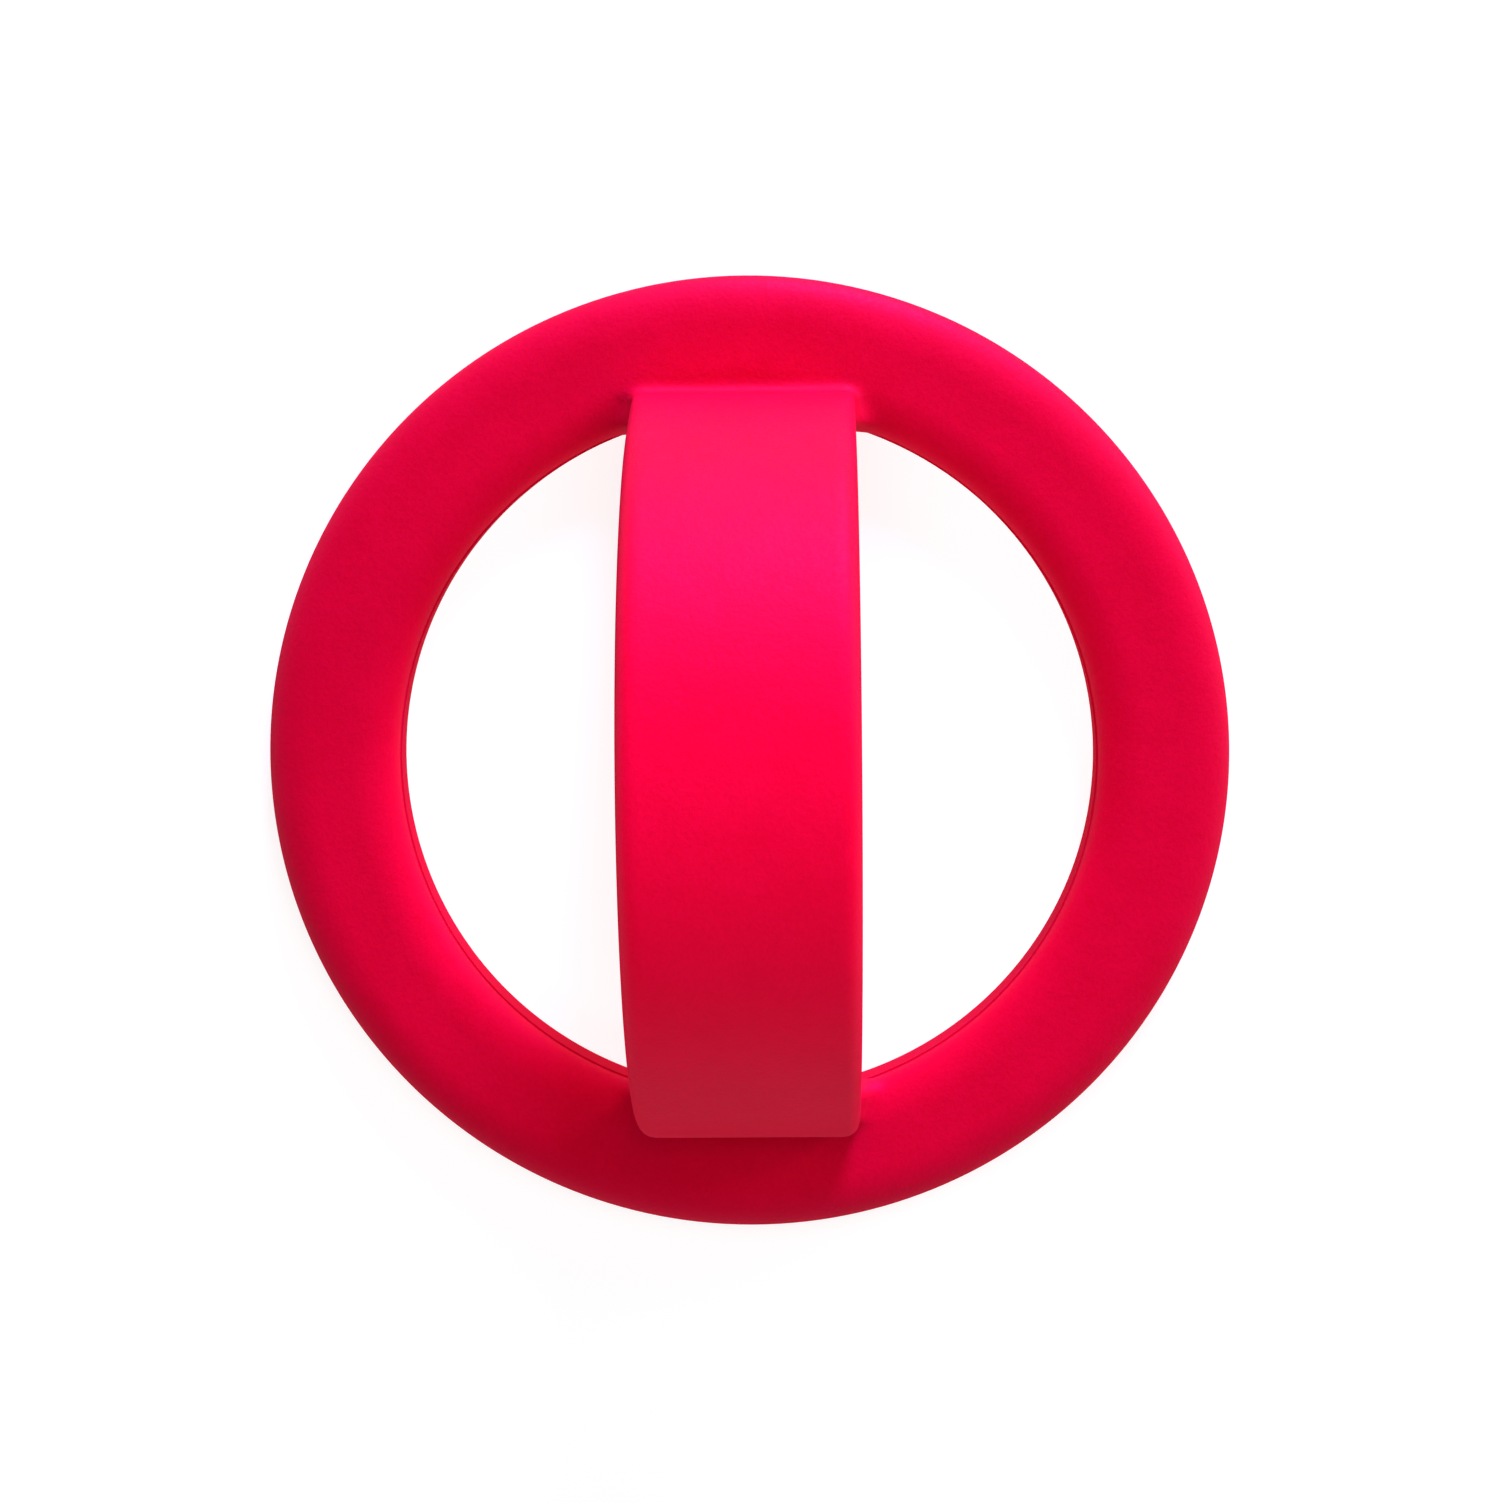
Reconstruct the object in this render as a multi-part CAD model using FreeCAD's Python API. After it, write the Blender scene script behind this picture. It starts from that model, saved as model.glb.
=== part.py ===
import FreeCAD, Part

import math
import os

# Magnetic phone grip: a flat ring with a soft finger loop arched over its hole.
# Millimetres. The ring lies on its contact pad, +Z runs along the ring's axis and
# out through the loop, and the loop spans the hole along Y. The origin is the
# centre of the contact face.

# --- Magnet ring: the common phone pattern, 46 mm inside and 54 mm outside ---
magnet_mean_radius = 25.0
magnet_width = 4.0
magnet_thickness = 1.0
magnet_count = 16
magnet_side_gap = 0.10
spacer_rib_width = 0.80
yoke_thickness = 0.40
tape_thickness = 0.10

# --- Rear shell: a channel that is open towards the loop ---
shell_floor = 0.50
shell_outer_wall = 0.90
shell_inner_wall = 1.00
shell_edge_radius = 0.45

# --- Contact pad: glued into a recess under the shell's floor ---
pad_thickness = 0.50
pad_proud = 0.20
pad_side_gap = 0.15
pad_lip = 1.10
pad_edge_radius = 0.15

# --- Core plate: the stiff insert that the soft grip is moulded over ---
core_thickness = 0.70
tongue_thickness = 0.70
tongue_depth = 1.10
tongue_fit = 0.10
tongue_magnet_gap = 0.20

# --- Keys: soft material that runs through the core plate and locks under it ---
key_hole_radius = 0.70
key_head_radius = 1.10
key_head_depth = 0.30
key_pitch_deg = 30.0
anchor_length = 10.0
anchor_width = 1.40
anchor_head_rim = 0.40
anchor_inset = 1.60

# --- Soft grip: the skin over the core plate, and the finger loop ---
skin_thickness = 0.70
seam_step = 0.10
seam_drop = 0.10
skin_outer_edge_radius = 1.40
skin_inner_edge_radius = 1.30
skin_edge_land = 0.10
loop_width = 13.0
loop_thickness = 2.15
loop_foot_inset = 1.05
loop_outer_edge_radius = 0.90
loop_inner_edge_radius = 0.60

# --- Radii, worked out from the magnets towards the two rims ---
magnet_inner_radius = magnet_mean_radius - magnet_width / 2
magnet_outer_radius = magnet_mean_radius + magnet_width / 2
core_inner_radius = magnet_inner_radius - tongue_magnet_gap - tongue_thickness
core_outer_radius = magnet_outer_radius + tongue_magnet_gap + tongue_thickness
channel_inner_radius = core_inner_radius - tongue_fit
channel_outer_radius = core_outer_radius + tongue_fit
shell_inner_radius = channel_inner_radius - shell_inner_wall
shell_outer_radius = channel_outer_radius + shell_outer_wall
skin_inner_radius = shell_inner_radius + seam_step
skin_outer_radius = shell_outer_radius + seam_step
recess_inner_radius = shell_inner_radius + pad_lip
recess_outer_radius = shell_outer_radius - pad_lip
loop_outer_radius = skin_inner_radius + loop_foot_inset
loop_inner_radius = loop_outer_radius - loop_thickness

# --- Heights, worked out from the contact face upwards ---
shell_rim_z = pad_proud
pad_tape_z = pad_thickness
shell_floor_z = pad_tape_z + tape_thickness
magnet_tape_z = shell_floor_z + shell_floor
magnet_z = magnet_tape_z + tape_thickness
yoke_z = magnet_z + magnet_thickness
core_z = yoke_z + yoke_thickness
skin_z = core_z + core_thickness
front_z = skin_z + skin_thickness
seam_z = core_z - seam_drop
skin_height = front_z - seam_z

X = FreeCAD.Vector(1, 0, 0)
Z = FreeCAD.Vector(0, 0, 1)
CENTRE = FreeCAD.Vector(0, 0, 0)


def at(x, y, z):
    """A point."""
    return FreeCAD.Vector(x, y, z)


def line(start, end):
    """A straight edge."""
    return Part.LineSegment(start, end).toShape()


def arc(start, middle, end):
    """A circular edge through three points."""
    return Part.Arc(start, middle, end).toShape()


def face_of(edges):
    """The flat face inside a closed chain of edges."""
    return Part.Face(Part.Wire(edges))


def ring(inner_radius, outer_radius, low_z, high_z):
    """A flat ring about Z."""
    height = high_z - low_z
    base = at(0, 0, low_z)
    disc = Part.makeCylinder(outer_radius, height, base, Z)
    return disc.cut(Part.makeCylinder(inner_radius, height, base, Z))


def block(size_x, size_y, low_z, high_z, centre_x, centre_y):
    """A box with its sides along the axes, centred on a point of the plane."""
    corner = at(centre_x - size_x / 2, centre_y - size_y / 2, low_z)
    return Part.makeBox(size_x, size_y, high_z - low_z, corner)


def turned(shape, angle_deg):
    """A copy of a shape, turned about Z."""
    copy = shape.copy()
    copy.rotate(CENTRE, Z, angle_deg)
    return copy


def quarter(centre_r, centre_z, radius, from_deg, to_deg):
    """A quarter-circle edge in the half-plane of radius and height."""
    points = []
    for angle_deg in (from_deg, (from_deg + to_deg) / 2, to_deg):
        angle = math.radians(angle_deg)
        points.append(at(centre_r + radius * math.cos(angle), 0, centre_z + radius * math.sin(angle)))
    return arc(*points)


def revolved(edges):
    """The solid that a closed chain of edges in the XZ half-plane sweeps about Z."""
    return face_of(edges).revolve(CENTRE, Z, 360)


def spacer_rib(index, width):
    """The straight rib, or the slot of its width, on one side of a magnet."""
    length = magnet_width + 2 * tongue_magnet_gap
    bar = block(length, width, magnet_tape_z, core_z, magnet_mean_radius, 0)
    return turned(bar, (index + 0.5) * 360 / magnet_count)


def arc_tile(index, low_z, high_z):
    """One magnet-shaped tile: a piece of the magnet ring between two spacer ribs."""
    slot_width = spacer_rib_width + 2 * magnet_side_gap
    pitch = 2 * math.pi / magnet_count
    reach = magnet_outer_radius / math.cos(pitch / 2) + magnet_side_gap
    half_side = reach * math.sin(pitch / 2)
    flat = reach * math.cos(pitch / 2)
    corners = [at(0, 0, low_z), at(flat, -half_side, low_z), at(flat, half_side, low_z)]
    wedge_face = Part.Face(Part.makePolygon(corners + corners[:1]))
    wedge = turned(wedge_face.extrude(at(0, 0, high_z - low_z)), index * 360 / magnet_count)
    tile = ring(magnet_inner_radius, magnet_outer_radius, low_z, high_z).common(wedge)
    return tile.cut([spacer_rib(index, slot_width), spacer_rib(index - 1, slot_width)])


def contact_pad():
    """The soft ring that meets the phone, with its contact edges eased."""
    inner = recess_inner_radius + pad_side_gap
    outer = recess_outer_radius - pad_side_gap
    ease = pad_edge_radius
    return revolved([
        line(at(inner + ease, 0, 0), at(outer - ease, 0, 0)),
        quarter(outer - ease, ease, ease, -90, 0),
        line(at(outer, 0, ease), at(outer, 0, pad_thickness)),
        line(at(outer, 0, pad_thickness), at(inner, 0, pad_thickness)),
        line(at(inner, 0, pad_thickness), at(inner, 0, ease)),
        quarter(inner + ease, ease, ease, 180, 270),
    ])


def pad_tape():
    """The adhesive ring between the pad and the shell's floor."""
    inner = recess_inner_radius + pad_side_gap
    outer = recess_outer_radius - pad_side_gap
    return ring(inner, outer, pad_tape_z, shell_floor_z)


def rear_shell():
    """The stiff channel with its pad recess below and its spacer ribs above."""
    ease = shell_edge_radius
    inner = shell_inner_radius
    outer = shell_outer_radius
    outside = revolved([
        line(at(inner + ease, 0, shell_rim_z), at(outer - ease, 0, shell_rim_z)),
        quarter(outer - ease, shell_rim_z + ease, ease, -90, 0),
        line(at(outer, 0, shell_rim_z + ease), at(outer, 0, seam_z)),
        line(at(outer, 0, seam_z), at(inner, 0, seam_z)),
        line(at(inner, 0, seam_z), at(inner, 0, shell_rim_z + ease)),
        quarter(inner + ease, shell_rim_z + ease, ease, 180, 270),
    ])
    recess = ring(recess_inner_radius, recess_outer_radius, shell_rim_z, shell_floor_z)
    channel = ring(channel_inner_radius, channel_outer_radius, magnet_tape_z, seam_z)
    shell = outside.cut([recess, channel])
    rib_zone = ring(magnet_inner_radius, magnet_outer_radius, magnet_tape_z, yoke_z)
    ribs = [spacer_rib(index, spacer_rib_width).common(rib_zone) for index in range(magnet_count)]
    return shell.fuse(ribs).removeSplitter()


def magnet_tape():
    """The adhesive tiles under the magnets, die-cut between the ribs."""
    return Part.makeCompound([arc_tile(index, magnet_tape_z, magnet_z) for index in range(magnet_count)])


def steel_yoke():
    """The thin steel ring that closes the magnets' field on the loop's side."""
    return ring(magnet_inner_radius, magnet_outer_radius, yoke_z, core_z)


def key_angles():
    """The angles of the round keys; the loop's feet, on Y, have anchors instead."""
    steps = round(360 / key_pitch_deg)
    angles = [step * key_pitch_deg for step in range(steps)]
    return [angle for angle in angles if angle % 180 != 90]


def keys():
    """Everything that the soft grip fills inside the core plate."""
    head_top = core_z + key_head_depth
    shapes = []
    for angle_deg in key_angles():
        angle = math.radians(angle_deg)
        base = at(magnet_mean_radius * math.cos(angle), magnet_mean_radius * math.sin(angle), core_z)
        shapes.append(Part.makeCylinder(key_hole_radius, core_thickness, base, Z))
        shapes.append(Part.makeCylinder(key_head_radius, key_head_depth, base, Z))
    for side in (-1, 1):
        anchor_y = side * (core_inner_radius + anchor_inset)
        head_length = anchor_length + 2 * anchor_head_rim
        head_width = anchor_width + 2 * anchor_head_rim
        shapes.append(block(anchor_length, anchor_width, core_z, skin_z, 0, anchor_y))
        shapes.append(block(head_length, head_width, core_z, head_top, 0, anchor_y))
    return shapes


def core_plate():
    """The stiff ring under the skin, with two tongues that drop into the channel."""
    plate = ring(core_inner_radius, core_outer_radius, core_z, skin_z)
    tongue_z = core_z - tongue_depth
    inner_tongue = ring(core_inner_radius, core_inner_radius + tongue_thickness, tongue_z, core_z)
    outer_tongue = ring(core_outer_radius - tongue_thickness, core_outer_radius, tongue_z, core_z)
    return plate.fuse([inner_tongue, outer_tongue]).removeSplitter().cut(keys())


def skin():
    """The ring of the soft grip, with its broad flat front and two round edges."""
    inner = skin_inner_radius
    outer = skin_outer_radius
    inner_ease = min(skin_inner_edge_radius, skin_height - skin_edge_land)
    outer_ease = min(skin_outer_edge_radius, skin_height - skin_edge_land)
    return revolved([
        line(at(inner, 0, seam_z), at(inner, 0, front_z - inner_ease)),
        quarter(inner + inner_ease, front_z - inner_ease, inner_ease, 180, 90),
        line(at(inner + inner_ease, 0, front_z), at(outer - outer_ease, 0, front_z)),
        quarter(outer - outer_ease, front_z - outer_ease, outer_ease, 90, 0),
        line(at(outer, 0, front_z - outer_ease), at(outer, 0, seam_z)),
        line(at(outer, 0, seam_z), at(inner, 0, seam_z)),
    ])


def loop_section():
    """The loop's cross-section at its +Y foot: a bar with four round corners."""
    half = loop_width / 2
    low = loop_inner_radius
    high = loop_outer_radius
    edges = []
    corners = [
        (half, high, loop_outer_edge_radius, 1, 1),
        (-half, high, loop_outer_edge_radius, -1, 1),
        (-half, low, loop_inner_edge_radius, -1, -1),
        (half, low, loop_inner_edge_radius, 1, -1),
    ]
    ends = []
    for x, y, radius, side_x, side_y in corners:
        on_side = at(x, y - side_y * radius, front_z)
        on_face = at(x - side_x * radius, y, front_z)
        diagonal = radius * (1 - math.sqrt(0.5))
        middle = at(x - side_x * diagonal, y - side_y * diagonal, front_z)
        first, last = (on_side, on_face) if side_x == side_y else (on_face, on_side)
        edges.append(arc(first, middle, last))
        ends.append((first, last))
    sides = [line(ends[index][1], ends[(index + 1) % 4][0]) for index in range(4)]
    chain = []
    for corner_edge, side_edge in zip(edges, sides):
        chain.extend([corner_edge, side_edge])
    return face_of(chain)


def finger_loop():
    """The half-round loop and its two straight roots inside the skin's depth."""
    section = loop_section()
    arch = section.revolve(at(0, 0, front_z), X, 180)
    root = section.extrude(at(0, 0, seam_z - front_z))
    return arch.fuse([root, turned(root, 180)]).removeSplitter()


def hole_clearance():
    """The cone of the ring's hole under the loop's roots, from the seam to the front."""
    return revolved([
        line(at(0, 0, seam_z), at(skin_inner_radius, 0, seam_z)),
        line(at(skin_inner_radius, 0, seam_z), at(loop_inner_radius, 0, front_z)),
        line(at(loop_inner_radius, 0, front_z), at(0, 0, front_z)),
        line(at(0, 0, front_z), at(0, 0, seam_z)),
    ])


def silicone_grip():
    """The soft moulding: skin, keys and finger loop in one piece."""
    loop = finger_loop().cut(hole_clearance())
    soft = skin().fuse([loop] + keys()).removeSplitter()
    under_core = ring(core_inner_radius, core_outer_radius, seam_z, core_z)
    return soft.cut([core_plate(), under_core])


def write(name, shape):
    """Save one node as parts/NAME.step."""
    shape.exportStep("parts/" + name + ".step")


os.makedirs("parts", exist_ok=True)
write("contact_pad", contact_pad())
write("pad_tape", pad_tape())
write("rear_shell", rear_shell())
write("magnet_tape", magnet_tape())
for magnet_index in range(magnet_count):
    write("magnet_%02d" % (magnet_index + 1), arc_tile(magnet_index, magnet_z, yoke_z))
write("steel_yoke", steel_yoke())
write("core_plate", core_plate())
write("silicone_grip", silicone_grip())
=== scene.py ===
"""Looks of a magnetic phone grip: a soft ring with a finger loop arched over its hole.

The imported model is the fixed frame. The silicone moulding is remade as one closed surface
of quads, because its skin and its loop flow into each other. The rear shell is remade with
an even, smooth lower edge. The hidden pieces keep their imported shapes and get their
finishes. Lengths are metres, +Z is up through the loop, and the loop spans the hole along Y.
"""
import logging
import math
from dataclasses import dataclass
from enum import Enum
from typing import Callable

import bmesh
import bpy
import numpy as np
from mathutils import Matrix, Vector


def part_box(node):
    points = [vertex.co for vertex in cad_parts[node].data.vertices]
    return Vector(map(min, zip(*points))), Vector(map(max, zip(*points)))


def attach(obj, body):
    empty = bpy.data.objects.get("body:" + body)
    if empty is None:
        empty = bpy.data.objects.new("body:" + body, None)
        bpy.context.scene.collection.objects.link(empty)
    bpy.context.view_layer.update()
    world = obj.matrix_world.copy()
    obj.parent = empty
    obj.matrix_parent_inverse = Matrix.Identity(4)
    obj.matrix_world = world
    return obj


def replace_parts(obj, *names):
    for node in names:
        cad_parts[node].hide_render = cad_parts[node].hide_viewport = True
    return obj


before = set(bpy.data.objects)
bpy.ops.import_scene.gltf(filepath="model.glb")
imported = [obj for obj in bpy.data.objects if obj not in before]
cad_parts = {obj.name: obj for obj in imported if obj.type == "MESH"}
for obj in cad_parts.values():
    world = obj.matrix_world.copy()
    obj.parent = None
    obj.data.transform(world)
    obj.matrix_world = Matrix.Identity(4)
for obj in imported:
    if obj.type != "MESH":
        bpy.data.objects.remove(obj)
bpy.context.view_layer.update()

LOG = logging.getLogger("phone_grip")
MM = 0.001
TINY = 1e-9
MERGE_DISTANCE = 0.0001 * MM
GRADIENT_REACH = 0.001 * MM
LEAST_STEEPNESS = 0.05
NOISE_LOW, NOISE_HIGH = 0.3, 0.7
BODY = "root"
REMADE_NODES = ("silicone_grip", "rear_shell")

Colour = tuple[float, float, float]
Field = Callable[[np.ndarray], np.ndarray]


# --- Distances and surfaces -------------------------------------------------------------


def axis_distance(points: np.ndarray) -> np.ndarray:
    """Distance from the Z axis of points whose array's last axis is x, y, z."""
    return np.hypot(points[..., 0], points[..., 1])


def eased(u: np.ndarray) -> np.ndarray:
    """The smooth step 3 u^2 - 2 u^3, with u held from 0 to 1."""
    u = np.clip(u, 0.0, 1.0)
    return (3 - 2 * u) * u**2


def both(a: np.ndarray, b: np.ndarray, radius: float | np.ndarray) -> np.ndarray:
    """Distance to the overlap of two shapes, with a round edge between them.

    Where both distances are within the radius of zero, the result is the length of
    (a + radius, b + radius) less the radius, which is a circular edge. Elsewhere it is
    the larger of the two.

    Args:
        a: signed distances to the first shape, negative inside.
        b: signed distances to the second shape.
        radius: radius of the convex edge, in metres.

    Returns:
        The signed distances to the overlap.
    """
    edge = np.hypot(np.maximum(a + radius, 0.0), np.maximum(b + radius, 0.0))
    return np.minimum(-radius, np.maximum(a, b)) + edge


def both_oval(a: np.ndarray, b: np.ndarray, wide: float, high: float) -> np.ndarray:
    """Distance to the overlap of two shapes, with a quarter of an ellipse as its edge.

    The first distance is squeezed by high / wide, which turns the ellipse into a circle
    of radius high. The result of the circle's formula is then divided by the length of
    its gradient, so that it stays close to a true distance.

    Args:
        a: signed distances to the first shape, negative inside.
        b: signed distances to the second shape.
        wide: half-axis of the ellipse across the first shape's side, in metres.
        high: half-axis across the second shape's side.

    Returns:
        The signed distances to the overlap.
    """
    squeeze = high / wide
    u, v = np.maximum(a * squeeze + high, 0.0), np.maximum(b + high, 0.0)
    length = np.hypot(u, v)
    slope = np.hypot(u * squeeze, v) / np.maximum(length, TINY)
    return (np.minimum(-high, np.maximum(a * squeeze, b)) + length) / np.maximum(slope, squeeze)


def either(a: np.ndarray, b: np.ndarray, radius: float | np.ndarray) -> np.ndarray:
    """Distance to two joined shapes, with a fillet in the corner between them.

    Where both distances are under the radius, the result is the radius less the length
    of (radius - a, radius - b), which is a circular fillet. Elsewhere it is the smaller
    of the two.

    Args:
        a: signed distances to the first shape, negative inside.
        b: signed distances to the second shape.
        radius: radius of the concave fillet, in metres, which may differ from point to point.

    Returns:
        The signed distances to the joined shape.
    """
    corner = np.hypot(np.maximum(radius - a, 0.0), np.maximum(radius - b, 0.0))
    return np.maximum(radius, np.minimum(a, b)) - corner


def settle(points: np.ndarray, distance: Field, rounds: int = 5) -> np.ndarray:
    """Moves points onto the surface where a distance is zero.

    Each round steps every point by its distance against the gradient, divided by the
    gradient's squared length, which is held above LEAST_STEEPNESS. The gradient is a
    central difference over GRADIENT_REACH either way.

    Args:
        points: an array whose last axis is x, y, z.
        distance: the signed distance of such an array.
        rounds: how many steps to take.

    Returns:
        The moved points, in an array of the same shape.
    """
    for _ in range(rounds):
        slopes = [
            (distance(points + step) - distance(points - step)) / (2 * GRADIENT_REACH)
            for step in np.eye(3) * GRADIENT_REACH
        ]
        gradient = np.stack(slopes, axis=-1)
        steepness = np.maximum((gradient**2).sum(-1), LEAST_STEEPNESS)
        points = points - gradient * (distance(points) / steepness)[..., None]
    return points


def straight(start: tuple[float, float], end: tuple[float, float], cells: int) -> np.ndarray:
    """Evenly spaced points from one point up to, but not at, the next.

    Args:
        start: first radius and height.
        end: radius and height that the stretch runs to.
        cells: number of equal steps.

    Returns:
        An array of (cells, 2).
    """
    share = np.arange(cells)[:, None] / cells
    return np.array(start) + (np.array(end) - np.array(start)) * share


def quarter(corner: tuple[float, float], back: tuple[float, float], on: tuple[float, float],
            cells: int) -> np.ndarray:
    """A quarter of an ellipse that rounds off a corner of an outline.

    A point is corner + back (1 - sin s) + on (1 - cos s), for s from 0 up to, but not at,
    a right angle, so the curve leaves one side of the corner and joins the other.

    Args:
        corner: radius and height of the sharp corner.
        back: from the corner to the curve's start, along the side it leaves.
        on: from the corner to the curve's end, along the side it joins.
        cells: number of steps.

    Returns:
        An array of (cells, 2).
    """
    s = (np.arange(cells) / cells * math.pi / 2)[:, None]
    return np.array(corner) + np.array(back) * (1 - np.sin(s)) + np.array(on) * (1 - np.cos(s))


def revolved(radius: np.ndarray, height: np.ndarray, turn: np.ndarray) -> np.ndarray:
    """Points (r cos a, r sin a, z) for each radius r, height z and angle a.

    Args:
        radius: distances from the Z axis.
        height: heights, whose shape fits the others'.
        turn: angles about the Z axis, likewise.

    Returns:
        The points, in an array whose last axis is x, y, z.
    """
    radius, height, turn = np.broadcast_arrays(radius, height, turn)
    return np.stack([radius * np.cos(turn), radius * np.sin(turn), height], -1)


def closed_grid(numbers: np.ndarray) -> np.ndarray:
    """The quads of a grid that closes on itself both ways.

    The quad at row i and column j joins (i, j), (i + 1, j), (i + 1, j + 1) and (i, j + 1).

    Args:
        numbers: vertex numbers, (n, m).

    Returns:
        An array of (n, m, 4).
    """
    onward = np.roll(numbers, -1, 0)
    return np.stack([numbers, onward, np.roll(onward, -1, 1), np.roll(numbers, -1, 1)], -1)


def new_piece(name: str, points: np.ndarray, quads: np.ndarray) -> bpy.types.Object:
    """Makes a smooth mesh piece that rides on the grip's one body.

    Args:
        name: the piece's name.
        points: vertices, (n, 3). Those closer than MERGE_DISTANCE become one.
        quads: vertex numbers, (m, 4). Vertices that no quad uses are dropped.

    Returns:
        The object, at the origin, with its faces turned outwards.
    """
    used, quads = np.unique(quads, return_inverse=True)
    mesh = bpy.data.meshes.new(name)
    mesh.from_pydata(points[used].tolist(), [], quads.reshape(-1, 4).tolist())
    work = bmesh.new()
    work.from_mesh(mesh)
    bmesh.ops.remove_doubles(work, verts=work.verts, dist=MERGE_DISTANCE)
    bmesh.ops.recalc_face_normals(work, faces=work.faces)
    work.to_mesh(mesh)
    work.free()
    mesh.shade_smooth()
    piece = bpy.data.objects.new(name, mesh)
    bpy.context.scene.collection.objects.link(piece)
    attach(piece, BODY)
    LOG.info("%s: %d vertices, %d faces", name, len(mesh.vertices), len(mesh.polygons))
    return piece


def node_points(node: str) -> np.ndarray:
    """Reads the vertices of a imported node.

    Args:
        node: the node's name.

    Returns:
        An array of (n, 3), in metres.
    """
    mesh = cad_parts[node].data
    flat = np.zeros(len(mesh.vertices) * 3)
    mesh.vertices.foreach_get("co", flat)
    return flat.reshape(-1, 3)


# --- Finishes ---------------------------------------------------------------------------


class Graph:
    """A material's node tree with one Principled shader, built up node by node."""

    def __init__(self, name: str) -> None:
        """Starts an empty tree with its shader and object coordinates.

        Args:
            name: the material's name.
        """
        self.material = bpy.data.materials.new(name)
        self.material.use_nodes = True
        self.tree = self.material.node_tree
        self.tree.nodes.clear()
        output = self.tree.nodes.new("ShaderNodeOutputMaterial")
        self.shader = self.tree.nodes.new("ShaderNodeBsdfPrincipled")
        self.tree.links.new(self.shader.outputs[0], output.inputs["Surface"])
        self.place = self.tree.nodes.new("ShaderNodeTexCoord").outputs["Object"]

    def join(self, source: bpy.types.NodeSocket, target: bpy.types.NodeSocket) -> None:
        """Links one socket to another."""
        self.tree.links.new(source, target)

    def stretched(self, scale: tuple[float, float, float]) -> bpy.types.NodeSocket:
        """Object coordinates with each axis multiplied.

        Args:
            scale: the factors for x, y and z.

        Returns:
            The stretched coordinates.
        """
        node = self.tree.nodes.new("ShaderNodeMapping")
        node.inputs["Scale"].default_value = scale
        self.join(self.place, node.inputs["Vector"])
        return node.outputs[0]

    def noise(self, grain: float, detail: float = 3.0, rough: float = 0.5,
              place: bpy.types.NodeSocket | None = None) -> bpy.types.NodeSocket:
        """Cloudy noise whose features are about one grain across.

        Args:
            grain: size of a feature, in metres.
            detail: number of finer layers.
            rough: strength of the finer layers.
            place: coordinates to read, or None for the object's own.

        Returns:
            A value from 0 to 1.
        """
        node = self.tree.nodes.new("ShaderNodeTexNoise")
        node.inputs["Scale"].default_value = 1 / grain
        node.inputs["Detail"].default_value = detail
        node.inputs["Roughness"].default_value = rough
        self.join(place or self.place, node.inputs["Vector"])
        return node.outputs[0]

    def cells(self, grain: float) -> bpy.types.NodeSocket:
        """Distance to the nearest of many scattered points.

        Args:
            grain: distance between neighbouring points, in metres.

        Returns:
            A value from 0 at a point.
        """
        node = self.tree.nodes.new("ShaderNodeTexVoronoi")
        node.inputs["Scale"].default_value = 1 / grain
        self.join(self.place, node.inputs["Vector"])
        return node.outputs["Distance"]

    def remap(self, value: bpy.types.NodeSocket, low: float, high: float,
              start: float = NOISE_LOW, stop: float = NOISE_HIGH) -> bpy.types.NodeSocket:
        """A value taken from one range to another, and held at its ends beyond them.

        Args:
            value: the value to take.
            low: result at the start.
            high: result at the stop.
            start: the value that gives low.
            stop: the value that gives high.

        Returns:
            The new value.
        """
        node = self.tree.nodes.new("ShaderNodeMapRange")
        ends = {"From Min": start, "From Max": stop, "To Min": low, "To Max": high}
        for name, number in ends.items():
            node.inputs[name].default_value = number
        self.join(value, node.inputs["Value"])
        return node.outputs[0]

    def add(self, first: bpy.types.NodeSocket,
            second: bpy.types.NodeSocket) -> bpy.types.NodeSocket:
        """The sum of two values, held from 0 to 1.

        Args:
            first: one value.
            second: the other value.

        Returns:
            The sum.
        """
        node = self.tree.nodes.new("ShaderNodeMath")
        node.use_clamp = True
        self.join(first, node.inputs[0])
        self.join(second, node.inputs[1])
        return node.outputs[0]

    def facing(self) -> bpy.types.NodeSocket:
        """How edge-on the surface is: 0 seen square, 1 at its edges."""
        return self.tree.nodes.new("ShaderNodeLayerWeight").outputs["Facing"]

    def blend(self, value: bpy.types.NodeSocket, first: Colour,
              second: Colour) -> bpy.types.NodeSocket:
        """A colour between two.

        Args:
            value: what picks the colour.
            first: the colour at NOISE_LOW and below.
            second: the colour at NOISE_HIGH and above.

        Returns:
            The colour.
        """
        node = self.tree.nodes.new("ShaderNodeValToRGB")
        ends = zip(node.color_ramp.elements, (NOISE_LOW, NOISE_HIGH), (first, second))
        for element, position, colour in ends:
            element.position = position
            element.color = (*colour, 1.0)
        self.join(value, node.inputs[0])
        return node.outputs[0]

    def bump(self, *layers: tuple[bpy.types.NodeSocket, float]) -> None:
        """Raises the surface by each layer's value times its depth.

        Args:
            layers: pairs of a value and its depth in metres.
        """
        normal = None
        for height, depth in layers:
            node = self.tree.nodes.new("ShaderNodeBump")
            node.inputs["Strength"].default_value = 1.0
            node.inputs["Distance"].default_value = depth
            self.join(height, node.inputs["Height"])
            if normal is not None:
                self.join(normal, node.inputs["Normal"])
            normal = node.outputs[0]
        self.join(normal, self.shader.inputs["Normal"])

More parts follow.
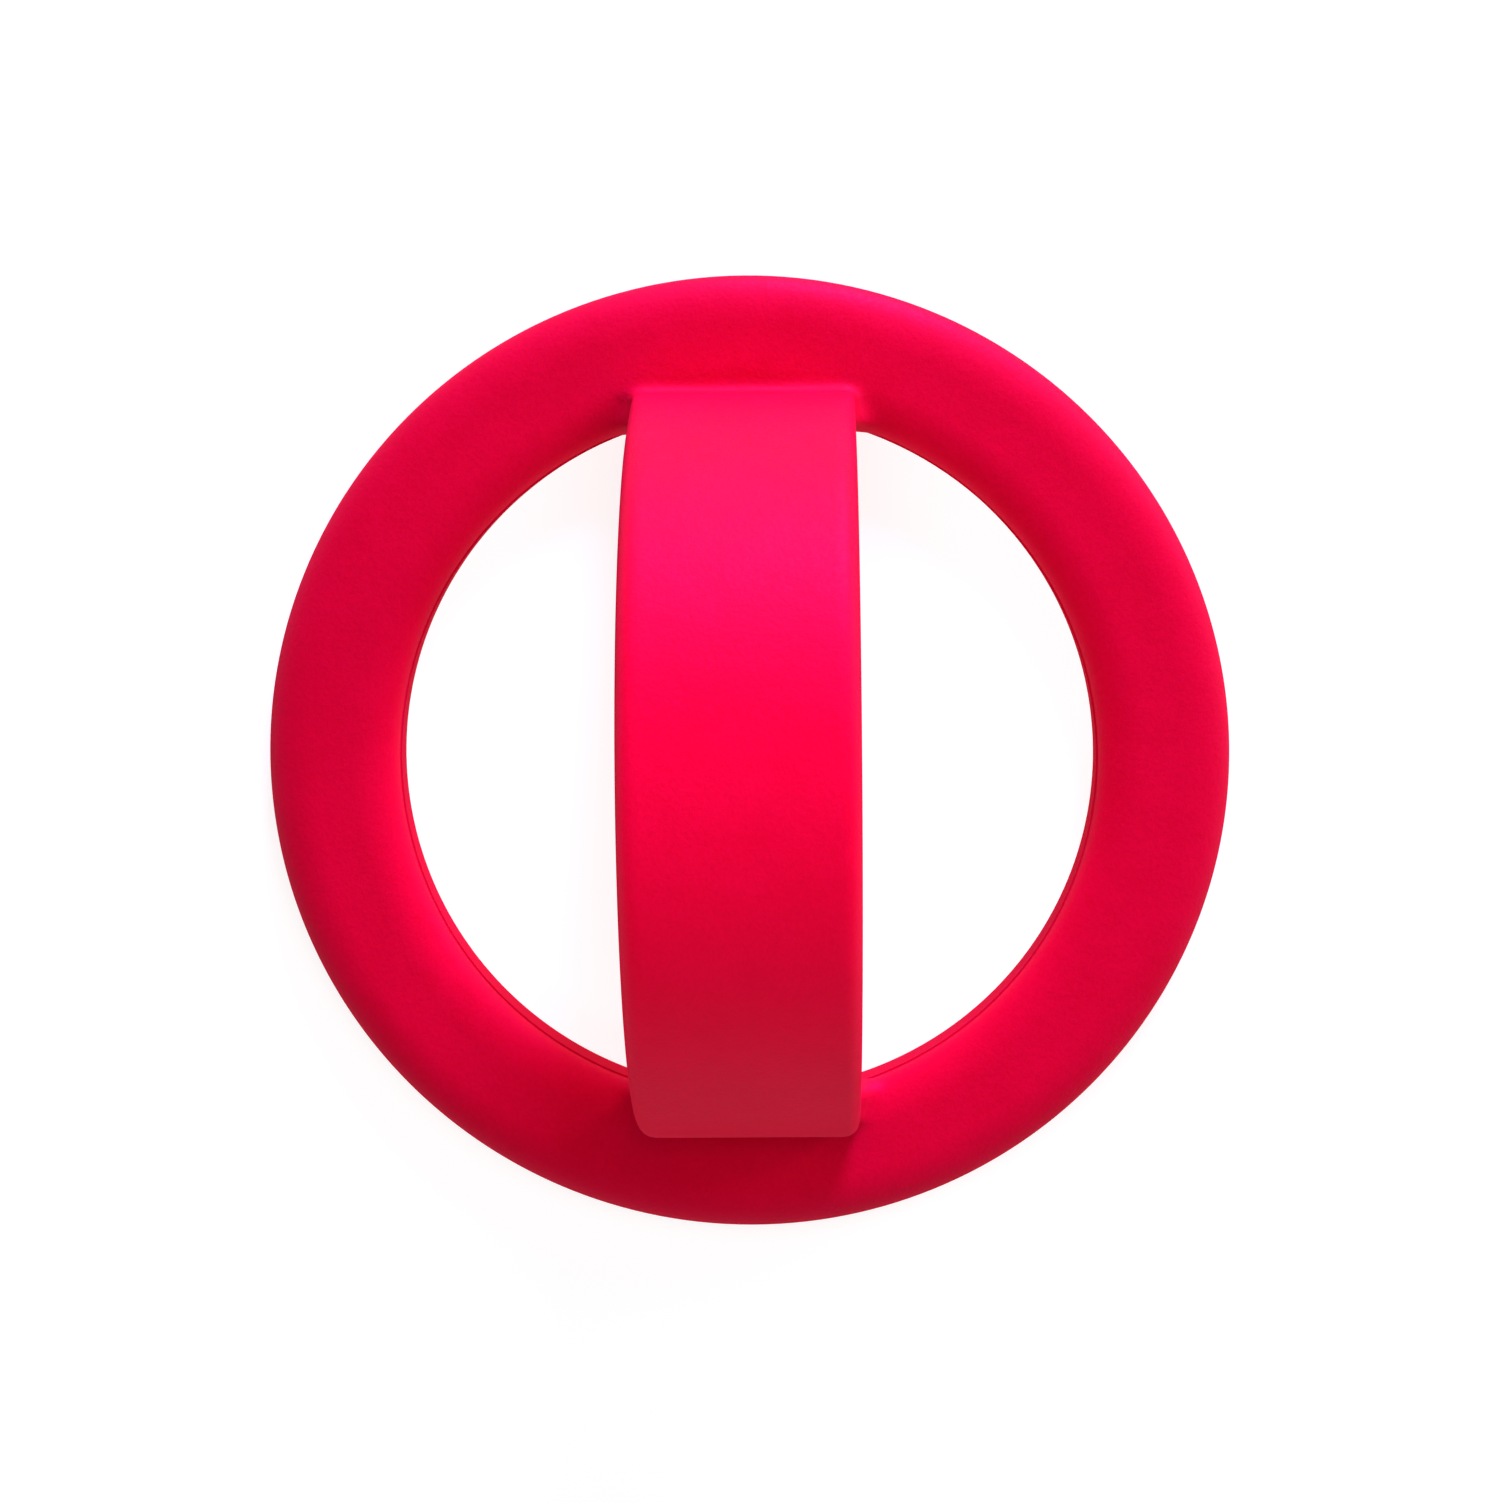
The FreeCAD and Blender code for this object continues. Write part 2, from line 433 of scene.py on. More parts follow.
    def fix(self, **values: float | Colour) -> None:
        """Sets sockets of the shader that are the same all over.

        Args:
            values: numbers and colours by socket name, with _ for each space.
        """
        for name, value in values.items():
            socket = self.shader.inputs[name.replace("_", " ")]
            socket.default_value = (*value, 1.0) if socket.type == "RGBA" else value

    def drive(self, name: str, source: bpy.types.NodeSocket) -> None:
        """Links a socket of the shader, by name."""
        self.join(source, self.shader.inputs[name])


@dataclass(frozen=True)
class SoftSilicone:
    """Moulded silicone with a powdery soft-touch surface."""

    name: str
    light: Colour
    deep: Colour
    roughness: float = 0.56
    edge_roughness: float = 1.0
    edge_start: float = 0.50
    edge_stop: float = 0.82
    waver: tuple[float, float] = (-0.07, 0.05)
    gloss: float = 0.15
    gloss_tint: Colour = (1.0, 0.05, 0.90)
    glow: float = 0.12
    glow_depth: float = 0.9 * MM
    glow_reach: Colour = (1.0, 0.12, 0.10)
    grain: float = 0.26 * MM
    grain_depth: float = 0.020 * MM
    ripple: float = 2.34 * MM
    ripple_depth: float = 0.040 * MM
    cloud: float = 4.0 * MM

    def material(self) -> bpy.types.Material:
        """Builds the material: powdery colour, fine grain, a broad gloss that dies at the edges.

        The colour goes from deep to light with the mean of a cloudy and a grainy noise.

        Returns:
            The material.
        """
        graph = Graph(self.name)
        cloud = graph.noise(self.cloud, detail=4.0, rough=0.6)
        grain = graph.noise(self.grain, detail=2.0, rough=0.6)
        ripple = graph.noise(self.ripple, detail=2.0)
        powder = graph.add(graph.remap(cloud, 0.0, 0.5), graph.remap(grain, 0.0, 0.5))
        graph.drive("Base Color", graph.blend(powder, self.deep, self.light))
        dulled = graph.remap(graph.facing(), self.roughness, self.edge_roughness,
                             self.edge_start, self.edge_stop)
        graph.drive("Roughness", graph.add(dulled, graph.remap(grain, *self.waver)))
        graph.bump((grain, self.grain_depth), (ripple, self.ripple_depth))
        graph.fix(Specular_IOR_Level=self.gloss, Specular_Tint=self.gloss_tint,
                  Subsurface_Weight=self.glow, Subsurface_Scale=self.glow_depth,
                  Subsurface_Radius=self.glow_reach)
        return graph.material


@dataclass(frozen=True)
class SparkPlastic:
    """Moulded plastic with the fine pitted texture of a spark-eroded mould."""

    name: str
    light: Colour
    deep: Colour
    roughness: float = 0.85
    waver: float = 0.06
    gloss: float = 0.03
    cloud: float = 2.5 * MM
    pit: float = 0.16 * MM
    pit_depth: float = 0.010 * MM

    def material(self) -> bpy.types.Material:
        """Builds the material: even colour, small round pits, uneven gloss.

        Returns:
            The material.
        """
        graph = Graph(self.name)
        cloud = graph.noise(self.cloud)
        dull, bright = self.roughness + self.waver, self.roughness - self.waver
        graph.drive("Base Color", graph.blend(cloud, self.deep, self.light))
        graph.drive("Roughness", graph.remap(cloud, bright, dull))
        graph.bump((graph.cells(self.pit), self.pit_depth))
        graph.fix(Specular_IOR_Level=self.gloss)
        return graph.material


@dataclass(frozen=True)
class FilledNylon:
    """Dark nylon with short glass fibres showing as pale flecks."""

    name: str
    base: Colour
    fleck: Colour
    fibre: float = 0.5 * MM
    fibre_stretch: tuple[float, float, float] = (0.25, 1.6, 1.0)
    fibre_depth: float = 0.012 * MM
    fleck_start: float = 0.55
    fleck_stop: float = 0.75
    roughness: float = 0.62
    fleck_roughness: float = 0.42

    def material(self) -> bpy.types.Material:
        """Builds the material: flecks drawn out along X over a dark base.

        Returns:
            The material.
        """
        graph = Graph(self.name)
        along = graph.stretched(self.fibre_stretch)
        fibres = graph.noise(self.fibre, detail=2.0, place=along)
        flecks = graph.remap(fibres, 0.0, 1.0, self.fleck_start, self.fleck_stop)
        graph.drive("Base Color", graph.blend(flecks, self.base, self.fleck))
        graph.drive("Roughness", graph.remap(fibres, self.roughness, self.fleck_roughness))
        graph.bump((fibres, self.fibre_depth))
        return graph.material


@dataclass(frozen=True)
class PlatedMetal:
    """Bright or rolled metal with fine marks that run one way or every way."""

    name: str
    light: Colour
    deep: Colour
    roughness: float
    mark: float
    stretch: tuple[float, float, float] = (1.0, 1.0, 1.0)
    mark_depth: float = 0.004 * MM
    polished: float = 0.08
    dulled: float = 0.10
    cloud: float = 3.0 * MM

    def material(self) -> bpy.types.Material:
        """Builds the material: tarnish clouds, fine marks and a wavering gloss.

        Returns:
            The material.
        """
        graph = Graph(self.name)
        marks = graph.noise(self.mark, detail=4.0, rough=0.6, place=graph.stretched(self.stretch))
        bright, dull = self.roughness - self.polished, self.roughness + self.dulled
        graph.drive("Base Color", graph.blend(graph.noise(self.cloud), self.deep, self.light))
        graph.drive("Roughness", graph.remap(marks, bright, dull))
        graph.bump((marks, self.mark_depth))
        graph.fix(Metallic=1.0)
        return graph.material


@dataclass(frozen=True)
class AdhesiveFilm:
    """Satin acrylic tape with a faint fibrous clouding."""

    name: str
    light: Colour
    deep: Colour
    cloud: float = 1.2 * MM
    wave_depth: float = 0.010 * MM
    smooth: float = 0.28
    rough: float = 0.46

    def material(self) -> bpy.types.Material:
        """Builds the material: milky clouds over a slightly wavy film.

        Returns:
            The material.
        """
        graph = Graph(self.name)
        cloud = graph.noise(self.cloud, detail=5.0, rough=0.7)
        graph.drive("Base Color", graph.blend(cloud, self.deep, self.light))
        graph.drive("Roughness", graph.remap(cloud, self.smooth, self.rough))
        graph.bump((cloud, self.wave_depth))
        return graph.material


class Palette(Enum):
    """The finishes that the grip is made in."""

    GRIP_SILICONE = SoftSilicone("grip_silicone", (0.685, 0.0005, 0.025), (0.65, 0.0004, 0.021))
    PAD_SILICONE = SoftSilicone("pad_silicone", (0.36, 0.0030, 0.026), (0.30, 0.0022, 0.020),
                                roughness=0.70, gloss=0.10)
    SHELL_PLASTIC = SparkPlastic("shell_plastic", (0.58, 0.0006, 0.026), (0.54, 0.0005, 0.022))
    CORE_NYLON = FilledNylon("core_nylon", (0.030, 0.030, 0.033), (0.16, 0.16, 0.16))
    MAGNET_NICKEL = PlatedMetal("magnet_nickel", (0.72, 0.69, 0.63), (0.62, 0.59, 0.53),
                                roughness=0.26, mark=0.20 * MM)
    YOKE_STEEL = PlatedMetal("yoke_steel", (0.56, 0.56, 0.57), (0.44, 0.44, 0.46),
                             roughness=0.38, mark=0.30 * MM, stretch=(0.06, 2.0, 1.0))
    TAPE = AdhesiveFilm("tape_acrylic", (0.80, 0.79, 0.75), (0.68, 0.67, 0.62))


# --- Sub-assemblies ---------------------------------------------------------------------


@dataclass
class SoftGrip:
    """The silicone moulding: a ring-shaped skin and the finger loop that grows out of it."""

    seam_z: float
    front_z: float
    hole_radius: float
    outer_radius: float
    loop_width: float
    loop_top_z: float
    cavity_inner: float
    cavity_outer: float
    cavity_top_z: float
    loop_thickness: float = 2.15 * MM
    loop_outer_edge: float = 1.00 * MM
    loop_inner_edge: float = 0.60 * MM
    foot_edge: float = 0.35 * MM
    foot_edge_rise: float = 7.0 * MM
    foot_fillet: float = 0.80 * MM
    web_fillet: float = 2.00 * MM
    web_blend: float = 1.50 * MM
    root_rise: float = 0.70 * MM
    shoulder_in: float = 2.60 * MM
    shoulder_down: float = 1.38 * MM
    outer_edge_in: float = 2.80 * MM
    outer_edge_down: float = 1.38 * MM
    seam_edge: float = 0.035 * MM
    cavity_gap: float = 0.03 * MM
    foot_clearance: float = 0.20 * MM
    rim_tolerance: float = 0.02 * MM
    wide_cells: int = 30
    thick_cells: int = 12
    open_cells: int = 130
    arch_cells: int = 116
    arch_start_deg: float = 4.2
    face_cells: int = 9
    outer_edge_cells: int = 14
    seam_edge_cells: int = 3
    roof_cells: int = 8
    hidden_cells: int = 2
    blend_rows: int = 11
    smoothing_rounds: int = 12
    keep_share: float = 0.40
    along_share: float = 0.45
    around_share: float = 0.15

    @classmethod
    def from_frame(cls) -> "SoftGrip":
        """Reads the moulding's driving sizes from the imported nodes.

        The face is the top of what lies outside the core plate's mean radius, and the
        loop is what lies over twice as high.

        Returns:
            The moulding, with its own sizes for all that the nodes don't give.
        """
        grip = node_points("silicone_grip")
        radius, height = axis_distance(grip), grip[:, 2]
        seam_z = float(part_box("rear_shell")[1].z)
        core_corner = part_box("core_plate")[1]
        core_hole = axis_distance(node_points("core_plate")).min()
        on_rim = np.isclose(height, seam_z, atol=cls.rim_tolerance)
        front_z = height[radius > (core_corner.x + core_hole) / 2].max()
        return cls(
            seam_z=seam_z,
            front_z=float(front_z),
            hole_radius=float(radius[on_rim].min()),
            outer_radius=float(radius.max()),
            loop_width=float(np.ptp(grip[height > 2 * front_z, 0])),
            loop_top_z=float(height.max()),
            cavity_inner=float(core_hole),
            cavity_outer=float(core_corner.x),
            cavity_top_z=float(core_corner.z),
        )

    @property
    def arch_radius(self) -> float:
        """Radius of the loop's outer face."""
        return self.loop_top_z - self.front_z

    @property
    def arch_inner(self) -> float:
        """Radius of the loop's inner face."""
        return self.arch_radius - self.loop_thickness

    @property
    def block_angle(self) -> float:
        """Half the angle of the ring that each foot takes up, with room for its fillet."""
        half = self.loop_width / 2 + self.web_fillet + self.foot_clearance
        return math.asin(half / self.hole_radius)

    def ring_distance(self, points: np.ndarray) -> np.ndarray:
        """Distance to the ring near its hole: the hole's wall and the face, rounded together.

        Args:
            points: an array whose last axis is x, y, z.

        Returns:
            The signed distances, negative inside.
        """
        wall = self.hole_radius - axis_distance(points)
        face = points[..., 2] - self.front_z
        return both_oval(wall, face, self.shoulder_in, self.shoulder_down)

    def edge_radius(self, height: np.ndarray) -> np.ndarray:
        """Radius of the loop's outer edges at a height: small at the feet, full above them."""
        share = eased((height - self.front_z) / self.foot_edge_rise)
        return self.foot_edge + (self.loop_outer_edge - self.foot_edge) * share

    def loop_distance(self, points: np.ndarray) -> np.ndarray:
        """Distance to the loop.

        Above the face, its inner and outer faces are two circles about the line through
        the face along X; below, its legs run straight down. Two planes cut its sides,
        and a cone that rises from the hole's wall cuts the underside of each leg.

        Args:
            points: an array whose last axis is x, y, z.

        Returns:
            The signed distances, negative inside.
        """
        rise = np.maximum(points[..., 2] - self.front_z, 0.0)
        reach = np.hypot(points[..., 1], rise)
        side = np.abs(points[..., 0]) - self.loop_width / 2
        outside = both(reach - self.arch_radius, side, self.edge_radius(points[..., 2]))
        inside = both(self.arch_inner - reach, side, self.loop_inner_edge)
        run = self.hole_radius - self.arch_inner
        climb = self.front_z - self.seam_z
        from_wall = self.hole_radius - axis_distance(points)
        from_seam = points[..., 2] - self.seam_z - self.root_rise
        under = (from_wall * climb - from_seam * run) / math.hypot(run, climb)
        return both(np.maximum(outside, inside), under, self.foot_fillet)

    def distance(self, points: np.ndarray) -> np.ndarray:
        """Distance to ring and loop together, with the fillet round each foot.

        The fillet widens into a web where the loop's sides meet the hole's wall. With u
        going from 0 to 1 over the last stretch before a side, v from 0 at the loop's outer
        face to 1 at its inner face, and s(w) = 3 w^2 - 2 w^3, the share of the web's extra
        radius is s(u) s(v).

        Args:
            points: an array whose last axis is x, y, z.

        Returns:
            The signed distances, negative inside.
        """
        side = np.abs(points[..., 0]) - self.loop_width / 2
        rise = np.maximum(points[..., 2] - self.front_z, 0.0)
        depth = self.arch_radius - np.hypot(points[..., 1], rise)
        share = eased(1 + side / self.web_blend) * eased(depth / self.loop_thickness)
        fillet = self.foot_fillet + (self.web_fillet - self.foot_fillet) * share
        return either(self.ring_distance(points), self.loop_distance(points), fillet)

    def skin_outline(self) -> np.ndarray:
        """The skin's section as radius and height, once round.

        It starts on the hole's wall just above the seam, climbs the wall, rounds the
        shoulder, crosses the face, falls over the softer outer edge, and comes back under
        the skin through the recess that the core plate fills. The first thick_cells
        steps are those that each foot of the loop takes up.

        Returns:
            An array of (n, 2), which closes on its first point.
        """
        hole, outer = self.hole_radius, self.outer_radius
        seam, front, edge = self.seam_z, self.front_z, self.seam_edge
        inner, rim = self.cavity_inner - self.cavity_gap, self.cavity_outer + self.cavity_gap
        roof = self.cavity_top_z + self.cavity_gap
        shoulder_in, shoulder_down = self.shoulder_in, self.shoulder_down
        edge_in, edge_down = self.outer_edge_in, self.outer_edge_down
        block_end = self.foot_clearance + max(self.arch_radius + self.foot_fillet,
                                              hole + shoulder_in)
        few, tight = self.hidden_cells, self.seam_edge_cells
        return np.concatenate([
            straight((hole, seam + edge), (hole, front - shoulder_down), 1),
            quarter((hole, front), (0, -shoulder_down), (shoulder_in, 0), self.thick_cells - 2),
            straight((hole + shoulder_in, front), (block_end, front), 1),
            straight((block_end, front), (outer - edge_in, front), self.face_cells),
            quarter((outer, front), (-edge_in, 0), (0, -edge_down), self.outer_edge_cells),
            straight((outer, front - edge_down), (outer, seam + edge), 1),
            quarter((outer, seam), (0, edge), (-edge, 0), tight),
            straight((outer - edge, seam), (rim, seam), few),
            straight((rim, seam), (rim, roof), few),
            straight((rim, roof), (inner, roof), self.roof_cells),
            straight((inner, roof), (inner, seam), few),
            straight((inner, seam), (hole + edge, seam), few),
            quarter((hole, seam), (edge, 0), (0, edge), tight),
        ])

    def ring_angles(self) -> np.ndarray:
        """Angles of the ring's columns: a foot, an open stretch, a foot, an open stretch.

        Returns:
            An array of 2 (wide_cells + open_cells) angles, from the +Y foot on.
        """
        half, right = self.block_angle, math.pi / 2
        marks = [right - half, right + half, 3 * right - half, 3 * right + half, 5 * right - half]
        counts = [self.wide_cells, self.open_cells] * 2
        stretches = [np.linspace(start, end, count, endpoint=False)
                     for start, end, count in zip(marks, marks[1:], counts)]
        return np.concatenate(stretches)

    def foot_cells(self) -> tuple[np.ndarray, np.ndarray]:
        """Finds the grid points round a foot's block, once round.

        Returns:
            Their columns and their rows, each of 2 (wide_cells + thick_cells).
        """
        wide, thick = self.wide_cells, self.thick_cells
        columns = np.concatenate([np.arange(wide), np.full(thick, wide),
                                  np.arange(wide, 0, -1), np.zeros(thick, int)])
        rows = np.concatenate([np.zeros(wide, int), np.arange(thick),
                               np.full(wide, thick), np.arange(thick, 0, -1)])
        return columns, rows

    def arch(self) -> np.ndarray:
        """The loop's section carried round the arch from the +Y foot to the -Y foot.

        The section starts as points spread over a sharp bar, closer together towards its
        corners by the curve (3 u - u^3) / 2. They are drawn in to the bar's inset core and
        pushed out again by the edge's radius, which rounds the corners. A section point
        at x and distance d then goes to (x, d cos t, face + d sin t), for the angle t of
        each row.

        Returns:
            An array of (arch_cells + 1, points in a section, 3).
        """
        start = math.radians(self.arch_start_deg)
        t = np.linspace(start, math.pi - start, self.arch_cells + 1)[:, None]
        columns, rows = self.foot_cells()
        u = 1 - 2 * columns / self.wide_cells
        v = rows / self.thick_cells
        half = self.loop_width / 2
        spread = [half * (3 * u - u**3) / 2, self.arch_inner + self.loop_thickness * v]
        sharp = np.broadcast_to(np.stack(spread, -1), (len(t), len(u), 2))
        outer_edge = self.edge_radius(self.front_z + self.arch_radius * np.sin(t))
        edge = np.where(v > 0.5, outer_edge, self.loop_inner_edge)
        low = np.stack([edge - half, self.arch_inner + edge], -1)
        high = np.stack([half - edge, self.arch_radius - edge], -1)
        core = np.clip(sharp, low, high)
        out = sharp - core
        section = core + out * (edge / np.hypot(out[..., 0], out[..., 1]))[..., None]
        x, reach = section[..., 0], section[..., 1]
        return np.stack([x, reach * np.cos(t), self.front_z + reach * np.sin(t)], -1)

    def foot_rows(self, on_ring: np.ndarray, on_loop: np.ndarray) -> np.ndarray:
        """The rows of points that flow from the ring's block up into the loop.

        They start evenly along straight lines between the two closed rows, settle on the
        filleted surface, and are then evened out by averaging with their neighbours and
        settling again.

        Args:
            on_ring: the block's outline on the ring, (n, 3).
            on_loop: the loop's nearest row, (n, 3).

        Returns:
            An array of (blend_rows, n, 3), from the ring to the loop.
        """
        share = (np.arange(self.blend_rows + 2) / (self.blend_rows + 1))[:, None, None]
        rows = on_ring + (on_loop - on_ring) * share
        rows[1:-1] = settle(rows[1:-1], self.distance)
        for _ in range(self.smoothing_rounds):
            along = (rows[:-2] + rows[2:]) / 2
            around = (np.roll(rows, 1, axis=1) + np.roll(rows, -1, axis=1))[1:-1] / 2
            mixed = self.keep_share * rows[1:-1] + self.along_share * along
            rows[1:-1] = settle(mixed + self.around_share * around, self.distance, rounds=3)
        return rows[1:-1]

    def build(self) -> bpy.types.Object:
        """Joins ring, feet and loop into one closed mesh.

        Two blocks of the ring's grid are left open, and the loop's tube joins their outlines.

        Returns:
            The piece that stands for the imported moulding.
        """
        radius, height = self.skin_outline().T
        ring = revolved(radius, height, self.ring_angles()[:, None])
        numbers = np.arange(ring[..., 0].size).reshape(ring.shape[:2])

        columns, rows = self.foot_cells()
        half_turn = self.wide_cells + self.open_cells
        far = numbers[columns, rows]
        near = numbers[half_turn + self.wide_cells - columns, rows]
        flat = ring.reshape(-1, 3)
        arch = self.arch()
        tube = np.concatenate([self.foot_rows(flat[far], arch[0]), arch,
                               self.foot_rows(flat[near], arch[-1])[::-1]])
        tube_numbers = len(flat) + np.arange(tube[..., 0].size).reshape(tube.shape[:2])
        tube_numbers = np.concatenate([far[None], tube_numbers, near[None]])

        taken = np.zeros(numbers.shape, bool)
        for first in (0, half_turn):
            taken[first:first + self.wide_cells, :self.thick_cells] = True
        onward = np.roll(tube_numbers, -1, 1)
        sides = np.stack([tube_numbers[:-1], onward[:-1], onward[1:], tube_numbers[1:]], -1)
        quads = np.concatenate([closed_grid(numbers)[~taken], sides.reshape(-1, 4)])
        piece = new_piece("silicone_moulding", np.concatenate([flat, tube.reshape(-1, 3)]), quads)
        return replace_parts(piece, "silicone_grip")

    def dress(self, piece: bpy.types.Object) -> None:
        """Gives the moulding its soft-touch finish."""
        piece.data.materials.append(Palette.GRIP_SILICONE.value.material())


@dataclass
class RearShell:
    """The stiff rear half: a channel for the magnets over a recess for the contact pad."""

    inner_radius: float
    outer_radius: float
    rim_z: float
    recess_top_z: float
    channel_z: float
    rib_top_z: float
    seam_z: float
    rib_inner: float
    rib_outer: float
    ribs: int
    inner_wall: float = 1.00 * MM
    outer_wall: float = 0.90 * MM
    recess_lip: float = 1.10 * MM
    lower_edge: float = 0.45 * MM
    rib_width: float = 0.80 * MM
    edge_cells: int = 8
    flat_cells: int = 4
    wall_cells: int = 2
    cells_between_ribs: int = 14
    crease_deg: float = 35.0

    @classmethod
    def from_frame(cls) -> "RearShell":
        """Reads the shell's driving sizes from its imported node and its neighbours'.

        Returns:
            The shell, with its own sizes for all that the nodes don't give.
        """
        shell, magnet = node_points("rear_shell"), node_points("magnet_01")
        radius, magnet_radius = axis_distance(shell), axis_distance(magnet)
        magnets = [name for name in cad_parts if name.removeprefix("magnet_").isdigit()]
        return cls(
            inner_radius=float(radius.min()),
            outer_radius=float(radius.max()),
            rim_z=float(shell[:, 2].min()),
            recess_top_z=float(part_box("pad_tape")[1].z),
            channel_z=float(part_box("magnet_tape")[0].z),
            rib_top_z=float(magnet[:, 2].max()),
            seam_z=float(shell[:, 2].max()),
            rib_inner=float(magnet_radius.min()),
            rib_outer=float(magnet_radius.max()),
            ribs=len(magnets),
        )

    def outline(self) -> np.ndarray:
        """The shell's section over a rib as radius and height, once round.

        It crosses the rim and its recess, rounds the outer lower edge, climbs to the seam,
        goes down into the channel and over a rib, comes up to the seam and goes down the
        hole's wall to the inner lower edge.

        Returns:
            An array of (n, 2), which closes on its first point.
        """
        hole, outer, rim, seam = self.inner_radius, self.outer_radius, self.rim_z, self.seam_z
        ease, lip, top, floor = self.lower_edge, self.recess_lip, self.recess_top_z, self.channel_z
        near, far = hole + self.inner_wall, outer - self.outer_wall
        low, high, crest = self.rib_inner, self.rib_outer, self.rib_top_z
        return np.concatenate([
            straight((hole + ease, rim), (hole + lip, rim), 1),
            straight((hole + lip, rim), (hole + lip, top), 1),
            straight((hole + lip, top), (outer - lip, top), self.flat_cells),
            straight((outer - lip, top), (outer - lip, rim), 1),
            straight((outer - lip, rim), (outer - ease, rim), 1),
            quarter((outer, rim), (-ease, 0), (0, ease), self.edge_cells),
            straight((outer, rim + ease), (outer, seam), self.wall_cells),
            straight((outer, seam), (far, seam), 1),
            straight((far, seam), (far, floor), 1),
            straight((far, floor), (high, floor), 1),
            straight((high, floor), (high, crest), 1),
            straight((high, crest), (low, crest), self.flat_cells),
            straight((low, crest), (low, floor), 1),
            straight((low, floor), (near, floor), 1),
            straight((near, floor), (near, seam), 1),
            straight((near, seam), (hole, seam), 1),
            straight((hole, seam), (hole, rim + ease), self.wall_cells),
            quarter((hole, rim), (0, ease), (ease, 0), self.edge_cells),
        ])

    def columns(self) -> tuple[np.ndarray, np.ndarray, np.ndarray]:
        """The section's stations round the ring.

        Each stretch between two ribs has evenly turned stations. Each rib has two at
        either side, one down on the floor and one up on the rib.

        Returns:
            Each station's angle, its sideways shift in metres, and whether it is on a rib.
        """
        pitch = 2 * math.pi / self.ribs
        plain = np.linspace(-pitch / 2, pitch / 2, self.cells_between_ribs + 2)[1:-1]
        angle = np.concatenate([plain, np.full(4, pitch / 2)])
        side = np.concatenate([np.zeros(len(plain)), [-1, -1, 1, 1]]) * self.rib_width / 2
        raised = np.concatenate([np.zeros(len(plain)), [0, 1, 1, 0]]) > 0
        turns = np.arange(self.ribs)[:, None] * pitch
        return (turns + angle).ravel(), np.tile(side, self.ribs), np.tile(raised, self.ribs)

    def build(self) -> bpy.types.Object:
        """Carries the section round the ring and lowers it to the floor between the ribs.

        A point at radius r of a station with angle a and shift s lies at the angle
        a + arcsin(s / r), so the ribs' sides are parallel.

        Returns:
            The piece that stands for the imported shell.
        """
        radius, height = self.outline().T
        angle, side, raised = self.columns()
        turn = angle[:, None] + np.arcsin(side[:, None] / radius)
        lowered = np.isclose(height, self.rib_top_z) & ~raised[:, None]
        ring = revolved(radius, np.where(lowered, self.channel_z, height), turn)
        quads = closed_grid(np.arange(turn.size).reshape(turn.shape)).reshape(-1, 4)
        piece = new_piece("rear_shell_moulding", ring.reshape(-1, 3), quads)
        piece.data.set_sharp_from_angle(angle=math.radians(self.crease_deg))
        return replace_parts(piece, "rear_shell")

    def dress(self, piece: bpy.types.Object) -> None:
        """Gives the shell its spark-eroded finish."""
        piece.data.materials.append(Palette.SHELL_PLASTIC.value.material())


@dataclass
class MagnetStack:
    """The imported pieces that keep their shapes: core, yoke, magnets, tapes and pad."""

    finishes: tuple[tuple[str, Palette], ...] = (
        ("contact_pad", Palette.PAD_SILICONE),
        ("core_plate", Palette.CORE_NYLON),
        ("steel_yoke", Palette.YOKE_STEEL),
        ("magnet_tape", Palette.TAPE),
        ("pad_tape", Palette.TAPE),
        ("magnet_", Palette.MAGNET_NICKEL),
    )

    def finish_of(self, node: str) -> Palette:
        """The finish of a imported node: the first whose name the node's name starts with."""
        return next(finish for prefix, finish in self.finishes if node.startswith(prefix))

    def dress(self) -> None:
        """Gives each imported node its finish, with one material for each finish."""
        made = {finish: finish.value.material() for _, finish in self.finishes}
        for name, node in sorted(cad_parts.items()):
            if name in REMADE_NODES:
                continue
            finish = self.finish_of(name)
            node.data.materials.clear()
            node.data.materials.append(made[finish])
            LOG.info("%s: %s", name, finish.value.name)


# --- Studio -----------------------------------------------------------------------------


@dataclass(frozen=True)
class Lamp:
    """A square soft light that faces the grip. Its place and side are in metres."""

    name: str
    place: tuple[float, float, float]
    side: float
    power: float
    tint: Colour = (1.0, 1.0, 1.0)
    in_gloss: bool = True

    def build(self, target: Vector) -> None:
        """Adds the light, turned towards a point.

        Args:
            target: the point.
        """
        data = bpy.data.lights.new(self.name, "AREA")
        data.size, data.energy, data.color = self.side, self.power, self.tint
        lamp = bpy.data.objects.new(self.name, data)
        bpy.context.scene.collection.objects.link(lamp)
        lamp.location = self.place
        lamp.visible_camera = False
        lamp.visible_glossy = self.in_gloss
        lamp.rotation_euler = (target - lamp.location).to_track_quat("-Z", "Y").to_euler()


